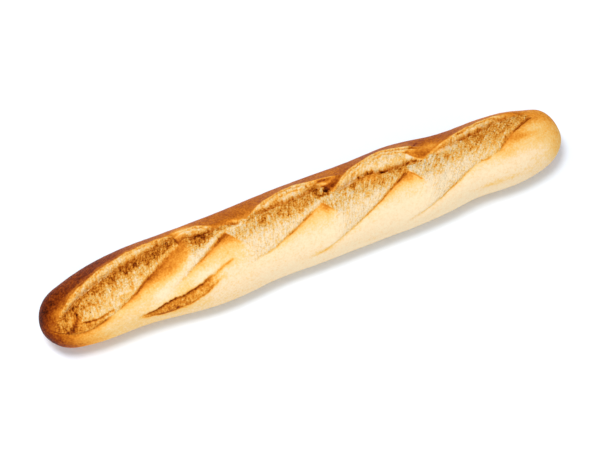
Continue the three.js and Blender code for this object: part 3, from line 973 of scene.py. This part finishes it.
def crust_material(colours):
    """Baked crust and torn crumb: a colour for each browning, strands and pores in the crumb, the pores
    browned as painted shade.
    """
    material = bpy.data.materials.new("baked_crust")
    material.use_nodes = True
    tree = material.node_tree
    shader = tree.nodes["Principled BSDF"]
    place = add_node(tree, "ShaderNodeTexCoord").outputs["Object"]
    strand = add_attribute(tree, "strand").outputs["Vector"]
    browning, torn = (add_attribute(tree, name).outputs["Fac"] for name in ("browning", "torn"))

    multiply = {"operation": "MULTIPLY"}
    stretched = add_node(tree, "ShaderNodeVectorMath", multiply, _0=strand, _1=STRAND_STRETCH).outputs[0]
    patterns = {
        "strands": add_noise(tree, stretched, STRAND_SIZE, detail=3, roughness=0.7),
        "clouds": add_noise(tree, place, CLOUD_SIZE),
        "mottle": add_noise(tree, place, MOTTLE_SIZE, detail=4, roughness=0.6),
        "grain": add_noise(tree, place, GRAIN_SIZE, detail=2),
        "pores": add_range(tree, add_noise(tree, place, PORE_SIZE, detail=1), PORE_LEVELS),
    }

    # the pores' share of this browning is painted shade in them
    in_crumb = add_sum(tree, patterns, CRUMB_TINT)
    in_crust = add_sum(tree, patterns, CRUST_TINT)
    change = add_math(tree, "ADD", in_crust, add_math(tree, "MULTIPLY", in_crumb, torn))
    level = add_math(tree, "ADD", browning, change)
    tree.links.new(add_ramp(tree, level, browning_stops(colours)), shader.inputs["Base Color"])

    gloss = add_range(tree, level, GLOSS_LEVELS, GLOSS_ROUGHNESS)
    dull = add_math(tree, "MULTIPLY", torn, TORN_DULLNESS)
    tree.links.new(add_math(tree, "ADD", gloss, dull), shader.inputs["Roughness"])
    shader.inputs["Specular IOR Level"].default_value = CRUST_SPECULAR

    fine = add_sum(tree, patterns, CRUST_LIFT)
    rough = add_sum(tree, patterns, CRUMB_LIFT)
    height = add_math(tree, "ADD", fine, add_math(tree, "MULTIPLY", rough, torn))
    relief = add_node(tree, "ShaderNodeBump", Strength=1.0, Distance=MM, Height=height)
    tree.links.new(relief.outputs[0], shader.inputs["Normal"])
    return material


def browning_stops(colours):
    """The crust's colours at even steps of browning."""
    names = list(CrustColours.__annotations__)
    return [(k / (len(names) - 1), getattr(colours, name)) for k, name in enumerate(names)]


def floor_material(colour):
    """A plain pale floor with faint clouds."""
    material = bpy.data.materials.new("pale_floor")
    material.use_nodes = True
    tree = material.node_tree
    shader = tree.nodes["Principled BSDF"]
    place = add_node(tree, "ShaderNodeTexCoord").outputs["Object"]
    shade = add_math(tree, "ADD", 0.5, add_noise(tree, place, FLOOR_CLOUD_SIZE))
    paler = [channel * FLOOR_PALENESS for channel in colour]
    tree.links.new(add_ramp(tree, shade, [(0.0, colour), (1.0, paler)]), shader.inputs["Base Color"])
    shader.inputs["Roughness"].default_value = FLOOR_ROUGHNESS
    return material


def display(red, green, blue):
    """A colour given as it shows on a screen, 0 to 255, in the renderer's own numbers."""
    shown = np.array([red, green, blue]) / 255
    return tuple(np.where(shown <= 0.04045, shown / 12.92, ((shown + 0.055) / 1.055) ** 2.4).tolist())


def size_property(name, description, millimetres):
    return FloatProperty(
        name=name, description=description, default=millimetres * MM, min=0, unit="LENGTH", subtype="DISTANCE"
    )


def power_property(name, description, watts):
    return FloatProperty(name=name, description=description, default=watts, min=0, unit="POWER")


def angle_property(name, description, degrees):
    return FloatProperty(name=name, description=description, default=math.radians(degrees), subtype="ANGLE")


def colour_property(name, description, shown):
    return FloatVectorProperty(
        name=name, description=description, default=display(*shown), min=0, max=1, size=3, subtype="COLOR"
    )


class LoafSizes(bpy.types.PropertyGroup):
    """Sizes of the loaf and of its slashes."""

    width: size_property("Width", "Width of the loaf between its swellings", 76)
    height: size_property("Height", "Height of the rounded top between the slashes", 56)
    waist_height: size_property("Waist height", "Height of the widest line above the base", 23)
    groove_depth: size_property("Groove depth", "Depth of the groove under each lip", 3.2)
    bloom_height: size_property("Bloom height", "How far the opened crumb swells out", 2)
    crease_depth: size_property("Crease depth", "Depth of the crease below the opened crumb", 1.9)


class CrustColours(bpy.types.PropertyGroup):
    """Colours of the crust in even steps of browning."""

    cream: colour_property("Cream", "Palest crust", (231, 209, 172))
    pale_straw: colour_property("Pale straw", "Pale crust", (230, 201, 159))
    straw: colour_property("Straw", "Lightly baked crust", (228, 191, 130))
    pale_gold: colour_property("Pale gold", "Crust on its way to gold", (227, 180, 102))
    gold: colour_property("Gold", "Golden crust", (226, 161, 70))
    honey: colour_property("Honey", "Deep golden crust", (216, 140, 46))
    amber: colour_property("Amber", "Orange-brown crust", (200, 117, 29))
    light_brown: colour_property("Light brown", "Browned crust", (173, 93, 17))
    brown: colour_property("Brown", "Well baked crust", (144, 64, 6))
    deep_brown: colour_property("Deep brown", "The brownest crust", (106, 38, 2))
    # painted shade in part: this darkest colour is reached at the bottoms of cracks and pits, besides the
    # brownest crust at the tips
    dark_brown: colour_property("Dark brown", "The bottoms of cracks", (60, 17, 1))


class StageLook(bpy.types.PropertyGroup):
    """The floor, the lights and the camera."""

    floor_colour: colour_property("Floor", "Colour of the floor", (236, 244, 254))
    sky_strength: FloatProperty(name="Sky", description="Even light from all round", default=0.64, min=0)
    key_power: power_property("Key light", "Power of the light above", 26.5)
    back_power: power_property("Back light", "Power of the light behind", 5)
    fill_power: power_property("Fill light", "Power of the light in front", 9)
    camera_azimuth: angle_property("Camera azimuth", "Turn of the camera round the loaf", -22.8)
    camera_elevation: angle_property("Camera elevation", "Height of the camera as an angle", 65)
    camera_distance: size_property("Camera distance", "From the camera to the loaf", 1630)
    lens: FloatProperty(name="Lens", description="Focal length in millimetres", default=110, min=1)


class BAGUETTE_OT_loaf(bpy.types.Operator):
    """Build the loaf with its slashes, crust and crumb"""

    bl_idname = "baguette.loaf"
    bl_label = "Loaf"

    def execute(self, context):
        scene = context.scene
        piece = bpy.data.objects.new("baguette_crust", loaf_mesh(scene.loaf_sizes))
        scene.collection.objects.link(piece)
        piece.data.materials.append(crust_material(scene.crust_colours))
        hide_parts(NODE)
        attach(piece, BODY)
        return {"FINISHED"}


class BAGUETTE_OT_stage(bpy.types.Operator):
    """Build the floor, the lights and the camera"""

    bl_idname = "baguette.stage"
    bl_label = "Stage"

    def execute(self, context):
        scene = context.scene
        look = scene.stage_look
        add_floor(scene, look)
        add_lights(scene, look)
        add_camera(scene, look)
        scene.view_settings.view_transform = "Standard"
        return {"FINISHED"}


def add_floor(scene, look):
    reach = FLOOR_HALF_SIZE
    mesh = bpy.data.meshes.new("floor")
    corners = [(-reach, -reach, 0), (reach, -reach, 0), (reach, reach, 0), (-reach, reach, 0)]
    mesh.from_pydata(corners, [], [(0, 1, 2, 3)])
    mesh.materials.append(floor_material(look.floor_colour))
    floor = bpy.data.objects.new("floor", mesh)
    scene.collection.objects.link(floor)


def direction(azimuth, elevation):
    """The way from the loaf to a place round it. Azimuth 0 is on the -Y side."""
    level = math.cos(elevation)
    return Vector((math.sin(azimuth) * level, -math.cos(azimuth) * level, math.sin(elevation)))


def aim(thing, back):
    """Turns a light or camera so that its own +Z points back."""
    right = Vector((0, 0, 1)).cross(back).normalized()
    turn = Matrix((right, back.cross(right), back)).transposed().to_4x4()
    thing.matrix_world = Matrix.Translation(thing.location) @ turn


def add_area_light(scene, name, power, width, azimuth, elevation, distance):
    light = bpy.data.lights.new(name, "AREA")
    light.energy = power
    light.shape = "DISK"
    light.size = width
    lamp = bpy.data.objects.new(name, light)
    back = direction(math.radians(azimuth), math.radians(elevation))
    lamp.location = back * distance
    aim(lamp, back)
    scene.collection.objects.link(lamp)


def add_lights(scene, look):
    sky = bpy.data.worlds.new("sky")
    sky.use_nodes = True
    background = sky.node_tree.nodes["Background"]
    background.inputs["Color"].default_value = SKY_COLOUR
    background.inputs["Strength"].default_value = look.sky_strength
    scene.world = sky
    for name, power, *placing in LIGHTS:
        add_area_light(scene, name, getattr(look, power), *placing)


def add_camera(scene, look):
    lens = bpy.data.cameras.new("camera")
    lens.lens = look.lens
    lens.clip_start = CLIP_START
    camera = bpy.data.objects.new("camera", lens)
    back = direction(look.camera_azimuth, look.camera_elevation)
    camera.location = CAMERA_TARGET + back * look.camera_distance
    aim(camera, back)
    scene.collection.objects.link(camera)
    scene.camera = camera


class BAGUETTE_PT_panel(bpy.types.Panel):
    """Baguette tools"""

    bl_label = "Baguette"
    bl_idname = "BAGUETTE_PT_panel"
    bl_space_type = "VIEW_3D"
    bl_region_type = "UI"
    bl_category = "Baguette"

    def draw(self, context):
        layout = self.layout
        for operator in OPERATORS:
            layout.operator(operator.bl_idname)
        for name, kind in GROUPS.items():
            box = layout.box()
            for setting in kind.__annotations__:
                box.prop(getattr(context.scene, name), setting)


GROUPS = {"loaf_sizes": LoafSizes, "crust_colours": CrustColours, "stage_look": StageLook}
OPERATORS = (BAGUETTE_OT_loaf, BAGUETTE_OT_stage)


def register():
    for kind in (*GROUPS.values(), *OPERATORS, BAGUETTE_PT_panel):
        bpy.utils.register_class(kind)
    for name, group in GROUPS.items():
        setattr(bpy.types.Scene, name, PointerProperty(type=group))


def unregister():
    for name in GROUPS:
        delattr(bpy.types.Scene, name)
    for kind in reversed((*GROUPS.values(), *OPERATORS, BAGUETTE_PT_panel)):
        bpy.utils.unregister_class(kind)


def main():
    register()
    bpy.ops.baguette.loaf()
    bpy.ops.baguette.stage()


if __name__ == "__main__":
    main()
